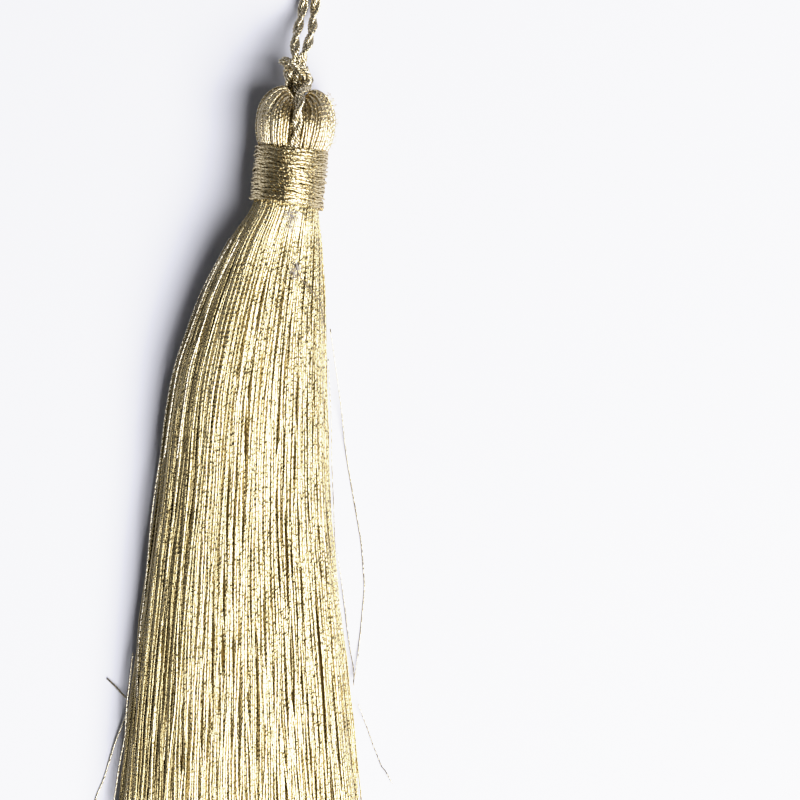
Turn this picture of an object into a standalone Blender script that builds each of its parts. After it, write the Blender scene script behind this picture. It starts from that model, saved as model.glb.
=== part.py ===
"""A metallic thread tassel that lies on a level surface, seen from above with its loop at the top.

Metres, +Z up. The surface is z = 0 and +Y runs from the skirt's cut end to the knot. The origin
is on the surface, at the middle of the tassel's box without its hanging loop.

The hank is one bundle of thread folded over the cord: a creased ball for a head, a neck, and a
skirt of separate strands. The binding is wound round the neck. The saddle cord carries the hank:
it runs down the front crease, through the head and up the back crease, and both of its sides are
tied in the knot. The rest of that cord is the hanging loop.
"""

import math

import bmesh
import bpy
import numpy as np
from mathutils import Matrix, Vector

# Driving dimensions, in metres
CLEARANCE = 0.0003
AXIS_LEAN = math.radians(6.7)
HEAD_CENTRE = Vector((0.0113, 0.0721, 0.0076))
HEAD_HALF_WIDTH = 0.0080
HEAD_HALF_DEPTH = 0.0090
NECK_RADIUS = 0.0062
BINDING_TOP = -0.0065
BINDING_BOTTOM = -0.0176
BINDING_RADIUS = 0.0074
CORD_WIDTH = 0.0021
CORD_WAIST = 0.0015
CORD_TWIST_PITCH = 0.0094

# Threads on the head and turns on the binding
HEAD_RIDGES = 36
HEAD_RIDGE_HEIGHT = 0.00016
CREASE_DEPTH = 0.0016
CREASE_HALF_WIDTH = 0.0017
BINDING_TURNS = 12
BINDING_GROOVE = 0.0003
BINDING_SIDES = 36

# Cords have eight sides, and turn by an eighth of a twist at each step
CORD_SIDES = 8
CORD_STEPS_PER_TWIST = 8
CORD_CUTTER_SIDES = 10
CORD_CUTTER_STEP = 0.0016
CURVE_SAMPLES = 24

# Points closer than this are one point, and edges that turn by more than these are sharp
WELD_DISTANCE = 0.000002
CORD_SHARP = math.radians(50)
BINDING_SHARP = math.radians(60)

# The hank's outline along its own axis: how far above the head's centre, how far out from the
# axis, and what share of the crease and of the thread ridges it has there
HANK_OUTLINE = (
    # above, out, crease, ridge
    (0.0047, 0.0000, 0.0, 0.0),
    (0.0056, 0.0016, 0.6, 0.4),
    (0.0062, 0.0034, 0.9, 1.0),
    (0.0056, 0.0053, 1.0, 1.0),
    (0.0038, 0.0069, 1.0, 1.0),
    (0.0014, 0.0078, 1.0, 1.0),
    (-0.0012, 0.0080, 1.0, 1.0),
    (-0.0038, 0.0079, 0.9, 1.0),
    (-0.0055, 0.0074, 0.6, 1.0),
    (-0.0063, 0.0062, 0.0, 0.5),
    (-0.0176, 0.0062, 0.0, 0.0),
    (-0.0183, 0.0068, 0.0, 0.0),
    (-0.0196, 0.0066, 0.0, 0.0),
)

# Sections of the skirt, level with the surface: where it is along Y, its middle and half width
# along X, the height of its crown, of its widest level and of its underside
SKIRT_SECTIONS = (
    # y, middle, half_width, crown, widest, underside
    (0.0535, 0.0091, 0.0069, 0.0146, 0.0077, 0.0008),
    (0.0480, 0.0074, 0.0092, 0.0148, 0.0064, 0.0000),
    (0.0380, 0.0050, 0.0123, 0.0151, 0.0052, 0.0000),
    (0.0220, 0.0023, 0.0155, 0.0149, 0.0044, 0.0000),
    (-0.0040, 0.0006, 0.0179, 0.0138, 0.0037, 0.0000),
    (-0.0400, 0.0000, 0.0221, 0.0132, 0.0031, 0.0000),
    (-0.0851, 0.0000, 0.0266, 0.0122, 0.0026, 0.0000),
)

# The skirt's strands lie in nested layers: how many in each, and how much of their pitch they fill
SKIRT_LAYERS = (
    # strands, fill
    (84, 0.72),
    (54, 0.70),
    (30, 0.60),
)
LAYER_STEP = 0.0015
LAYER_SPREAD = 0.15
STRAND_DEPTH = 0.0010
SKIRT_WAVE = 0.00035
WAVE_PER_SECTION = 2.1
UNDERSIDE_FALL = 2.2
LEAST_FALL = 0.0006
OUTLINE_STEPS = 720
CORNER_ROUNDING = 0.0016

# The saddle cord's route through the head, in the head's own axes: across, above, and height
# over the head's centre
SADDLE_ROUTE = (
    # across, above, height
    (0.00150, 0.00690, 0.0000),
    (0.00150, 0.00630, 0.0001),
    (0.00150, 0.00585, 0.0008),
    (0.00140, 0.00570, 0.0024),
    (0.00100, 0.00500, 0.0048),
    (0.00060, 0.00340, 0.0065),
    (0.00035, 0.00130, 0.0073),
    (0.00030, -0.00080, 0.0074),
    (0.00025, -0.00280, 0.0068),
    (0.00015, -0.00420, 0.0054),
    (0.00005, -0.00490, 0.0034),
    (0.00000, -0.00505, 0.0012),
    (0.00000, -0.00505, -0.0012),
    (0.00000, -0.00490, -0.0034),
    (0.00000, -0.00420, -0.0052),
    (0.00000, -0.00280, -0.0062),
    (0.00000, -0.00080, -0.0063),
    (-0.00020, 0.00150, -0.0063),
    (-0.00070, 0.00360, -0.0056),
    (-0.00120, 0.00500, -0.0044),
    (-0.00165, 0.00570, -0.0029),
    (-0.00175, 0.00590, -0.0016),
    (-0.00175, 0.00630, -0.0009),
    (-0.00175, 0.00690, -0.0008),
)

# The knot's body, in the head's own axes like the saddle cord: its middle, and its half sizes
KNOT_CENTRE = Vector((-0.0006, 0.0094, -0.0007))
KNOT_CORE = Vector((0.0021, 0.0025, 0.0019))
KNOT_CORE_SIDES = 14
KNOT_CORE_RINGS = 9

# What the cord does on the knot: each turn's name and its route, in the head's own axes
KNOT_TURNS = {
    # across, above, height
    "band": (
        (-0.0012, 0.0101, -0.0020),
        (-0.0024, 0.0109, -0.0008),
        (-0.0022, 0.0110, 0.0007),
        (-0.0008, 0.0105, 0.0018),
        (0.0006, 0.0096, 0.0019),
        (0.0018, 0.0084, 0.0010),
        (0.0020, 0.0078, -0.0006),
        (0.0010, 0.0079, -0.0020),
        (-0.0004, 0.0088, -0.0022),
    ),
    "left_side": (
        (-0.0012, 0.0106, 0.0000),
        (-0.0026, 0.0098, 0.0006),
        (-0.0027, 0.0085, 0.0005),
        (-0.0019, 0.0077, -0.0005),
        (-0.00175, 0.0072, -0.0008),
    ),
    "middle": (
        (-0.0008, 0.0112, 0.0000),
        (-0.0008, 0.0098, 0.0011),
        (-0.0006, 0.0086, 0.0013),
        (-0.0004, 0.0078, 0.0004),
    ),
    "right_side": (
        (0.0004, 0.0096, 0.0002),
        (0.0014, 0.0085, 0.0008),
        (0.0016, 0.0077, 0.0004),
        (0.0015, 0.0072, 0.0000),
    ),
    "cut_end": (
        (-0.0014, 0.0106, -0.0008),
        (-0.0024, 0.0111, -0.0006),
        (-0.0036, 0.0113, -0.0004),
    ),
    "left_exit": (
        (-0.0014, 0.0104, -0.0010),
        (-0.0018, 0.0116, -0.0008),
        (-0.0021, 0.0126, -0.0006),
    ),
    "right_exit": (
        (-0.0004, 0.0104, -0.0008),
        (-0.0001, 0.0114, -0.0004),
        (0.0003, 0.0122, -0.0003),
    ),
}

# The hanging loop's route: out of the knot, along the surface, round its bend and back
LOOP_ROUTE = (
    # x, y, z
    (0.0107, 0.0853, 0.0071),
    (0.0107, 0.0868, 0.0066),
    (0.0110, 0.0883, 0.0056),
    (0.0115, 0.0901, 0.0043),
    (0.0120, 0.0919, 0.0031),
    (0.0127, 0.0957, 0.0015),
    (0.0136, 0.1005, 0.0012),
    (0.0142, 0.1060, 0.0012),
    (0.0144, 0.1120, 0.0012),
    (0.0143, 0.1180, 0.0012),
    (0.0144, 0.1240, 0.0012),
    (0.0155, 0.1295, 0.0012),
    (0.0190, 0.1335, 0.0012),
    (0.0233, 0.1321, 0.0012),
    (0.0247, 0.1272, 0.0012),
    (0.0237, 0.1210, 0.0012),
    (0.0220, 0.1150, 0.0012),
    (0.0200, 0.1090, 0.0012),
    (0.0179, 0.1030, 0.0012),
    (0.0163, 0.0982, 0.0012),
    (0.0154, 0.0949, 0.0016),
    (0.0149, 0.0923, 0.0028),
    (0.0147, 0.0899, 0.0044),
    (0.0143, 0.0879, 0.0058),
    (0.0137, 0.0862, 0.0068),
    (0.0132, 0.0848, 0.0075),
)


def clear_scene():
    """Removes every object, so that the tassel is alone."""
    for thing in list(bpy.data.objects):
        bpy.data.objects.remove(thing, do_unlink=True)


def new_collection(name):
    made = bpy.data.collections.new(name)
    bpy.context.scene.collection.children.link(made)
    return made


def metal_thread(name, colour, roughness, metallic):
    """A material for metal-wrapped thread of this colour."""
    made = bpy.data.materials.new(name)
    made.use_nodes = True
    shader = made.node_tree.nodes["Principled BSDF"]
    shader.inputs["Base Color"].default_value = (*colour, 1.0)
    shader.inputs["Roughness"].default_value = roughness
    shader.inputs["Metallic"].default_value = metallic
    return made


def head_matrix():
    """The head's own axes in the world: X across, Y up the tassel's axis, Z up from the surface."""
    return Matrix.Translation(HEAD_CENTRE) @ Matrix.Rotation(-AXIS_LEAN, 4, "Z")


def smooth_through(points, spacing):
    """Evenly spaced points on a smooth curve through the given ones."""
    given = [Vector(p) for p in points]
    given.insert(0, given[0] * 2 - given[1])
    given.append(given[-1] * 2 - given[-2])
    dense = []
    for before, start, end, after in zip(given, given[1:], given[2:], given[3:]):
        leave = (end - before) * 0.5
        arrive = (after - start) * 0.5
        for step in range(CURVE_SAMPLES):
            t = step / CURVE_SAMPLES
            dense.append(
                start * (2 * t**3 - 3 * t**2 + 1)
                + leave * (t**3 - 2 * t**2 + t)
                + end * (3 * t**2 - 2 * t**3)
                + arrive * (t**3 - t**2)
            )
    dense.append(given[-2])
    route = np.array(dense)
    run = length_along(route)
    count = max(2, round(run[-1] / spacing) + 1)
    even = np.linspace(0.0, run[-1], count)
    return [Vector(p) for p in np.column_stack([np.interp(even, run, c) for c in route.T])]


def cord_profile(width, waist, sides):
    """A closed flat curve, the cord's section: wide across both plies and narrow at the waist."""
    data = bpy.data.curves.new("cord_section", "CURVE")
    data.dimensions = "2D"
    spline = data.splines.new("POLY")
    spline.points.add(sides - 1)
    for k, point in enumerate(spline.points):
        angle = 2 * math.pi * k / sides
        reach = (width + waist) / 4 + (width - waist) / 4 * math.cos(2 * angle)
        point.co = (reach * math.cos(angle), reach * math.sin(angle), 0.0, 1.0)
    spline.use_cyclic_u = True
    return bpy.data.objects.new("cord_section", data)


def swept_mesh(name, points, width, waist, sides, twist):
    """A mesh of the section carried along the points, turning by twist at each, with end caps."""
    profile = cord_profile(width, waist, sides)
    bpy.context.scene.collection.objects.link(profile)
    data = bpy.data.curves.new(name, "CURVE")
    data.dimensions = "3D"
    data.bevel_mode = "OBJECT"
    data.bevel_object = profile
    data.use_fill_caps = True
    spline = data.splines.new("POLY")
    spline.points.add(len(points) - 1)
    for k, (point, place) in enumerate(zip(spline.points, points)):
        point.co = (*place, 1.0)
        point.tilt = twist * k
    guide = bpy.data.objects.new(name, data)
    bpy.context.scene.collection.objects.link(guide)
    bpy.context.view_layer.update()
    graph = bpy.context.evaluated_depsgraph_get()
    mesh = bpy.data.meshes.new_from_object(guide.evaluated_get(graph))
    mesh.name = name
    bpy.data.objects.remove(guide, do_unlink=True)
    bpy.data.objects.remove(profile, do_unlink=True)
    weld(mesh)
    return mesh


def weld(mesh):
    """Joins the points of loose caps to the sides and turns every face outwards."""
    work = bmesh.new()
    work.from_mesh(mesh)
    bmesh.ops.remove_doubles(work, verts=work.verts, dist=WELD_DISTANCE)
    bmesh.ops.triangulate(work, faces=work.faces)
    bmesh.ops.recalc_face_normals(work, faces=work.faces)
    work.to_mesh(mesh)
    work.free()


def twisted_cord(name, route):
    """The two-ply cord along a route, its plies raised as a twist."""
    step = CORD_TWIST_PITCH / CORD_STEPS_PER_TWIST
    points = smooth_through(route, step)
    turn = 2 * math.pi / CORD_STEPS_PER_TWIST
    return swept_mesh(name, points, CORD_WIDTH, CORD_WAIST, CORD_SIDES, turn)


def cord_clearance(name, route):
    """A plain round tube along a route, wider and longer than the cord by the room it needs."""
    points = smooth_through(route, CORD_CUTTER_STEP)
    points[0] += (points[0] - points[1]).normalized() * CLEARANCE
    points[-1] += (points[-1] - points[-2]).normalized() * CLEARANCE
    width = CORD_WIDTH + 2 * CLEARANCE
    return swept_mesh(name, points, width, width, CORD_CUTTER_SIDES, 0.0)


def place(collection, name, mesh, material=None, matrix=None):
    """An object of this mesh in the collection, at the matrix."""
    made = bpy.data.objects.new(name, mesh)
    if matrix is not None:
        made.matrix_world = matrix
    if material:
        mesh.materials.clear()
        mesh.materials.append(material)
    collection.objects.link(made)
    return made


def boolean(target, other, operation, solver="EXACT"):
    """Joins other to target, or cuts it out of target."""
    modifier = target.modifiers.new(f"{operation.lower()}_{other.name}", "BOOLEAN")
    modifier.object = other
    modifier.operation = operation
    modifier.solver = solver
    other.hide_render = True
    other.display_type = "WIRE"


def shade(mesh, angle):
    """Round pieces are shaded smooth, with sharp edges past this angle."""
    mesh.shade_smooth()
    mesh.set_sharp_from_angle(angle=angle)


def outline_normals(outline):
    """For each point of an outline of (out, above), the direction that points out of the form."""
    ahead = np.gradient(outline, axis=0)
    out = np.column_stack([-ahead[:, 1], ahead[:, 0]])
    out /= np.linalg.norm(out, axis=1, keepdims=True)
    return out


def crease(angle, out):
    """How deep the crease is at an angle round the axis: 1 in the front's and back's middle."""
    half = CREASE_HALF_WIDTH / np.maximum(out, CREASE_HALF_WIDTH)
    off_front = np.abs(np.abs(angle) - math.pi / 2)
    return np.exp(-((off_front / half) ** 2))


def hank_body():
    """The head, the neck and the flare below it as one turned form: a lathe's points, pushed in
    along the crease, raised on every other line for the threads, and flat under the head."""
    rows = np.array([(out, above) for above, out, _, _ in HANK_OUTLINE])
    creased = np.array([row[2] for row in HANK_OUTLINE])[:, None]
    ridged = np.array([row[3] for row in HANK_OUTLINE])[:, None]
    normal = outline_normals(rows)
    around = 2 * HEAD_RIDGES
    angle = 2 * math.pi * np.arange(around) / around
    signed = (angle + math.pi) % (2 * math.pi) - math.pi
    push = -CREASE_DEPTH * creased * crease(signed[None, :], rows[:, :1])
    push = push + HEAD_RIDGE_HEIGHT * ridged * np.where(np.arange(around) % 2, -1.0, 1.0)
    out = np.maximum(rows[:, :1] + push * normal[:, :1], 0.0)
    above = rows[:, 1:] + push * normal[:, 1:]
    deepen = 1 + (HEAD_HALF_DEPTH / HEAD_HALF_WIDTH - 1) * creased
    across = out * np.cos(angle)
    height = out * np.sin(angle) * deepen
    height = np.maximum(height, -HEAD_CENTRE.z)
    grid = np.stack([across, above, height], axis=-1)[1:]
    points = [tuple(p) for p in grid.reshape(-1, 3)]
    faces = []
    for row in range(len(grid) - 1):
        for k in range(around):
            a, b = row * around + k, row * around + (k + 1) % around
            faces.append((a, b, b + around, a + around))
    top, end = len(points), len(points) + 1
    points.append((0.0, HANK_OUTLINE[0][0], 0.0))
    points.append((0.0, HANK_OUTLINE[-1][0], 0.0))
    last = (len(grid) - 1) * around
    for k in range(around):
        faces.append((top, (k + 1) % around, k))
        faces.append((end, last + k, last + (k + 1) % around))
    mesh = bpy.data.meshes.new("hank")
    mesh.from_pydata(points, [], faces)
    weld(mesh)
    shade(mesh, CORD_SHARP)
    return mesh


def skirt_outline(section, layer):
    """The line on which a layer's strands lie in one section: half an ellipse over its widest
    level, and below that a deeper half ellipse cut level where it would pass the underside.
    Returns points (x, z) from the right tip over the crown and back under."""
    _, middle, half_width, crown, widest, underside = section
    root_width = SKIRT_SECTIONS[0][2]
    inset = STRAND_DEPTH / 2 + layer * LAYER_STEP
    narrower = inset + layer * LAYER_SPREAD * (half_width - root_width)
    angle = np.linspace(0.0, 2 * math.pi, OUTLINE_STEPS + 1)
    across = (half_width - narrower) * np.cos(angle)
    top = crown - inset
    low = underside + inset
    level = widest + ((top + low) / 2 - widest) * layer / (len(SKIRT_LAYERS) - 1)
    fall = UNDERSIDE_FALL - (UNDERSIDE_FALL - 1) * (widest / SKIRT_SECTIONS[0][4]) ** 2
    rise = np.where(np.sin(angle) > 0, top - level, fall * np.maximum(level - low, LEAST_FALL))
    height = np.maximum(level + rise * np.sin(angle), low)
    return round_corners(np.column_stack([middle + across, height]))


def round_corners(line):
    """The closed line with its corners rounded: evenly spaced points, each moved to the average
    of those within the rounding on both sides, which leaves a level stretch level."""
    run = length_along(line)
    even = np.linspace(0.0, run[-1], OUTLINE_STEPS, endpoint=False)
    spots = np.column_stack([np.interp(even, run, c) for c in line.T])
    reach = max(1, round(CORNER_ROUNDING / run[-1] * OUTLINE_STEPS))
    spots = sum(np.roll(spots, k, axis=0) for k in range(-reach, reach + 1)) / (2 * reach + 1)
    return np.vstack([spots, spots[:1]])


def length_along(line):
    """The length of the line up to each of its points."""
    return np.concatenate([[0.0], np.cumsum(np.linalg.norm(np.diff(line, axis=0), axis=1))])


def strand_places(section, layer, count):
    """Even places along a layer's outline, with the outward direction at each."""
    line = skirt_outline(section, layer)
    run = length_along(line)
    at = (np.arange(count) + 0.5) / count * run[-1]
    spots = np.column_stack([np.interp(at, run, c) for c in line.T])
    span = run[-1] / count / 2
    after = np.column_stack([np.interp((at + span) % run[-1], run, c) for c in line.T])
    before = np.column_stack([np.interp((at - span) % run[-1], run, c) for c in line.T])
    along = after - before
    along /= np.linalg.norm(along, axis=1, keepdims=True)
    return spots, np.column_stack([along[:, 1], -along[:, 0]])


def section_centre_y(section, spots):
    """The first section lies across the leaning axis, and the others run level across."""
    if section is SKIRT_SECTIONS[0]:
        return section[0] - (spots[:, 0] - section[1]) * math.tan(AXIS_LEAN)
    return np.full(len(spots), section[0])


def skirt_strands():
    """Every strand of the skirt: a three-sided loft through the sections. Those on the upper half
    have their ridge outside, and those underneath lie flat side down, level on the surface."""
    points = []
    faces = []
    for layer, (count, fill) in enumerate(SKIRT_LAYERS):
        upper = np.arange(count) + 0.5 < count / 2
        rings = []
        for station, section in enumerate(SKIRT_SECTIONS):
            spots, out = strand_places(section, layer, count)
            y = section_centre_y(section, spots)
            wave = SKIRT_WAVE * math.sin(WAVE_PER_SECTION * station)
            depth = STRAND_DEPTH / 2 * np.where(upper, 1.0, -1.0)
            apex = spots + out * depth[:, None]
            base = spots - out * depth[:, None]
            onward = base + (np.roll(base, -1, axis=0) - base) * fill / 2
            back = base + (np.roll(base, 1, axis=0) - base) * fill / 2
            ring = np.stack(
                [np.column_stack([c[:, 0] + wave, y, c[:, 1]]) for c in (onward, apex, back)],
                axis=1,
            )
            rings.append(ring)
        stack = np.stack(rings, axis=1)
        for strand in range(count):
            first = len(points)
            points.extend(map(tuple, stack[strand].reshape(-1, 3)))
            faces.extend(strand_faces(first, len(SKIRT_SECTIONS)))
    mesh = bpy.data.meshes.new("skirt_strands")
    mesh.from_pydata(points, [], faces)
    face_outwards(mesh)
    shade(mesh, CORD_SHARP)
    return mesh


def strand_faces(first, stations):
    """The sides of one three-sided strand and its two ends."""
    faces = [(first, first + 1, first + 2)]
    for station in range(stations - 1):
        low = first + 3 * station
        for k in range(3):
            nxt = (k + 1) % 3
            faces.append((low + k, low + k + 3, low + nxt + 3, low + nxt))
    last = first + 3 * (stations - 1)
    faces.append((last + 2, last + 1, last))
    return faces


def face_outwards(mesh):
    """Turns every face outwards and leaves the points as they are."""
    work = bmesh.new()
    work.from_mesh(mesh)
    bmesh.ops.triangulate(work, faces=work.faces)
    bmesh.ops.recalc_face_normals(work, faces=work.faces)
    work.to_mesh(mesh)
    work.free()


def build_hank(tassel, cutters, material):
    """Head, neck and skirt as one solid, with the crease cleared for the saddle cord."""
    hank = place(tassel, "hank", hank_body(), material, head_matrix())
    strands = place(cutters, "skirt_strands", skirt_strands())
    boolean(hank, strands, "UNION")
    clear_of_saddle(hank, cutters)
    return hank


def clear_of_saddle(piece, cutters, solver="EXACT"):
    """Cuts the saddle cord's path, and the room that it needs, out of a piece."""
    name = f"saddle_room_{piece.name}"
    room = place(cutters, name, cord_clearance(name, SADDLE_ROUTE), None, head_matrix())
    boolean(piece, room, "DIFFERENCE", solver)


def build_binding(tassel, material):
    """The wound band: a turned ring whose outside rises and falls once for each raised turn."""
    length = BINDING_TOP - BINDING_BOTTOM
    inner = NECK_RADIUS + CLEARANCE
    profile = [(inner, BINDING_TOP - CLEARANCE)]
    for turn in range(BINDING_TURNS):
        top = BINDING_TOP - CLEARANCE - (length - CLEARANCE) * turn / BINDING_TURNS
        middle = top - (length - CLEARANCE) / BINDING_TURNS / 2
        profile.append((BINDING_RADIUS - BINDING_GROOVE, top))
        profile.append((BINDING_RADIUS, middle))
    profile.append((BINDING_RADIUS - BINDING_GROOVE, BINDING_BOTTOM))
    profile.append((inner, BINDING_BOTTOM))
    work = bmesh.new()
    ring = [work.verts.new((out, above, 0.0)) for out, above in profile]
    edges = [work.edges.new(pair) for pair in zip(ring, ring[1:] + ring[:1])]
    bmesh.ops.spin(
        work,
        geom=ring + edges,
        cent=(0.0, 0.0, 0.0),
        axis=(0.0, 1.0, 0.0),
        angle=2 * math.pi,
        steps=BINDING_SIDES,
        use_merge=True,
    )
    bmesh.ops.remove_doubles(work, verts=work.verts, dist=WELD_DISTANCE)
    bmesh.ops.recalc_face_normals(work, faces=work.faces)
    mesh = bpy.data.meshes.new("neck_binding")
    work.to_mesh(mesh)
    work.free()
    shade(mesh, BINDING_SHARP)
    return place(tassel, "neck_binding", mesh, material, head_matrix())


def build_saddle(tassel, material):
    mesh = twisted_cord("saddle_cord", SADDLE_ROUTE)
    shade(mesh, CORD_SHARP)
    return place(tassel, "saddle_cord", mesh, material, head_matrix())


def build_knot(tassel, cutters, material):
    """The overhand knot: a small body with every turn of the cord that shows joined to it, and
    its two legs cut off where they meet the saddle cord's ends."""
    work = bmesh.new()
    bmesh.ops.create_uvsphere(work, u_segments=KNOT_CORE_SIDES, v_segments=KNOT_CORE_RINGS, radius=1.0)
    bmesh.ops.scale(work, vec=KNOT_CORE, verts=work.verts)
    bmesh.ops.translate(work, vec=KNOT_CENTRE, verts=work.verts)
    mesh = bpy.data.meshes.new("knot")
    work.to_mesh(mesh)
    work.free()
    weld(mesh)
    shade(mesh, CORD_SHARP)
    knot = place(tassel, "knot", mesh, material, head_matrix())
    for name, route in KNOT_TURNS.items():
        turn = place(cutters, f"knot_{name}", twisted_cord(name, route), None, head_matrix())
        boolean(knot, turn, "UNION", "MANIFOLD")
    clear_of_saddle(knot, cutters, "MANIFOLD")
    return knot


def build_loop(tassel, material):
    mesh = twisted_cord("hanging_loop", LOOP_ROUTE)
    shade(mesh, CORD_SHARP)
    return place(tassel, "hanging_loop", mesh, material)


def main():
    clear_scene()
    tassel = new_collection("metallic_tassel")
    cutters = new_collection("cutters")
    pale_gold = metal_thread("pale_gold_thread", (0.62, 0.52, 0.30), 0.38, 0.85)
    wound_gold = metal_thread("wound_gold_thread", (0.52, 0.43, 0.24), 0.36, 0.85)
    cord_gold = metal_thread("cord_gold_thread", (0.50, 0.42, 0.25), 0.42, 0.80)
    build_hank(tassel, cutters, pale_gold)
    build_binding(tassel, wound_gold)
    build_saddle(tassel, cord_gold)
    build_knot(tassel, cutters, cord_gold)
    build_loop(tassel, cord_gold)


main()
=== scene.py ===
# %% [markdown]
# # A metallic thread tassel
# The tassel lies on a table and is seen from straight above. It is one hank of fine metal-wrapped
# thread, folded over a twisted cord, bound at the neck and cut level at its end. The solid model
# comes in first as a fixed frame. Every visible surface is then made again around it, thread by
# thread, in the same place and at the same size, in metres.

# %% The frame
import math

import bpy
import numpy as np
from mathutils import Matrix, Vector


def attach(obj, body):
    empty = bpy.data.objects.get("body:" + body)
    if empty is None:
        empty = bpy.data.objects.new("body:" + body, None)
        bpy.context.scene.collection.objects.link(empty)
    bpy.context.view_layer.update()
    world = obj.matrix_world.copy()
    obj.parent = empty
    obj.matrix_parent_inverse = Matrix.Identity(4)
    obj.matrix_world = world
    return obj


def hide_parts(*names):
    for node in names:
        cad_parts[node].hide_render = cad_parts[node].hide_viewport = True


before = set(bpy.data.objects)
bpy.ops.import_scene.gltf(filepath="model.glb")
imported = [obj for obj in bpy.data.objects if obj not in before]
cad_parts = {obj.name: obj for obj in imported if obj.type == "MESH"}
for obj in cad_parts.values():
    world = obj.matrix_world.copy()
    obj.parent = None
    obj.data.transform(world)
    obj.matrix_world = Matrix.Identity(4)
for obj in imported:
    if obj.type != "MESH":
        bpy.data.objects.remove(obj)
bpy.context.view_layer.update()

print("solids:", sorted(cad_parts))

# %% [markdown]
# ## Camera
# The picture was taken with a long lens from straight above, with the cord at the top. A camera
# that isn't turned already looks down with +Y up, so it only needs a place. Its lens follows from
# the width of table that the picture spans, measured at the middle height of the threads.

# %% Camera
PICTURE_WIDTH = 0.160
PICTURE_MIDDLE = (0.0320, 0.0157)
PICTURE_LEVEL = 0.006
CAMERA_HEIGHT = 0.90

camera_data = bpy.data.cameras.new("camera")
camera_data.sensor_width = 36.0
camera_data.lens = camera_data.sensor_width * (CAMERA_HEIGHT - PICTURE_LEVEL) / PICTURE_WIDTH
camera_data.clip_start = 0.05
camera_data.clip_end = 20.0
camera = bpy.data.objects.new("camera", camera_data)
camera.location = (*PICTURE_MIDDLE, CAMERA_HEIGHT)
bpy.context.scene.collection.objects.link(camera)
bpy.context.scene.camera = camera
print("lens, mm:", round(camera_data.lens, 1))

# %% [markdown]
# ## Smooth lines through chosen points
# Every thread and cord follows a line that a maker could have drawn through a few points. A cubic
# curve through them, sampled at even steps, keeps those points and has no corners. The same idea
# turns a short table of sections into a smooth form.

# %% Lines
def length_along(line):
    """The distance along a line up to each point: the running sum of its steps."""
    steps = np.linalg.norm(np.diff(line, axis=-2), axis=-1)
    start = np.zeros(steps.shape[:-1] + (1,))
    return np.concatenate([start, np.cumsum(steps, axis=-1)], axis=-1)


def smooth_table(at, knots, values):
    """Each column of values read at new places between its knots, by a cubic whose slope at a
    knot is the average slope of its two neighbours."""
    slopes = np.gradient(values, knots, axis=0)
    k = np.clip(np.searchsorted(knots, at, side="right") - 1, 0, len(knots) - 2)
    gap = (knots[k + 1] - knots[k])[:, None]
    t = (at[:, None] - knots[k][:, None]) / gap
    return (
        values[k] * (2 * t**3 - 3 * t**2 + 1)
        + slopes[k] * gap * (t**3 - 2 * t**2 + t)
        + values[k + 1] * (3 * t**2 - 2 * t**3)
        + slopes[k + 1] * gap * (t**3 - t**2)
    )


def read_off(at, knots, rows):
    """Each column of rows read at new places between its knots, along straight lines."""
    return np.column_stack([np.interp(at, knots, column) for column in rows.T])


def smooth_through(points, step):
    """Evenly spaced points, about step apart, on a smooth curve through the given ones."""
    points = np.array(points, float)
    dense = smooth_table(
        np.linspace(0, len(points) - 1, 30 * len(points)), np.arange(float(len(points))), points
    )
    run = length_along(dense)
    even = np.linspace(0.0, run[-1], max(3, round(run[-1] / step) + 1))
    return read_off(even, run, dense)


def drift(rng, count, along, waves, size):
    """How far each of count threads wanders: a sum of sines of the length along it, one for each
    wavelength, with random phase and strength, shorter waves weaker in proportion."""
    total = np.zeros((count, len(along)))
    for wave in waves:
        phase = rng.uniform(0, 2 * math.pi, (count, 1))
        strength = rng.normal(0.0, size * wave / max(waves), (count, 1))
        total += strength * np.sin(2 * math.pi * along[None, :] / wave + phase)
    return total


checked = smooth_through([(0, 0, 0), (1, 1, 0), (2, 0, 0)], 0.5)
print("a check of the curve:", checked.round(2).tolist())

# %% [markdown]
# ## A thread as a surface
# A thread is a round profile carried along its path. Hundreds of threads are carried at once: one
# array holds every ring of every thread, and one table of corners joins them. Each thread gets a
# UV map, its length one way and round it the other, so that its metal wrap can be drawn to scale,
# and a random number, its tint, so that no two threads look alike. Plain threads have a tint in
# the upper half of 0 to 1, and the lower half is for threads painted darker: painted shade.

# %% Threads
PLAIN_TINTS = (0.5, 1.0)
GOLDEN_STEP = 0.618034


def unit(vectors):
    """The same directions with length one."""
    return vectors / np.maximum(np.linalg.norm(vectors, axis=-1, keepdims=True), 1e-12)


def full_turn(count):
    """The angles of count even steps round a circle."""
    return 2 * math.pi * np.arange(count) / count


def even_order(count):
    """A number in 0..1 for each of count threads, spread evenly over any stretch of neighbours:
    the thread's place times the golden ratio, without its whole part."""
    return np.mod(np.arange(count) * GOLDEN_STEP, 1.0)[:, None]


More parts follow.
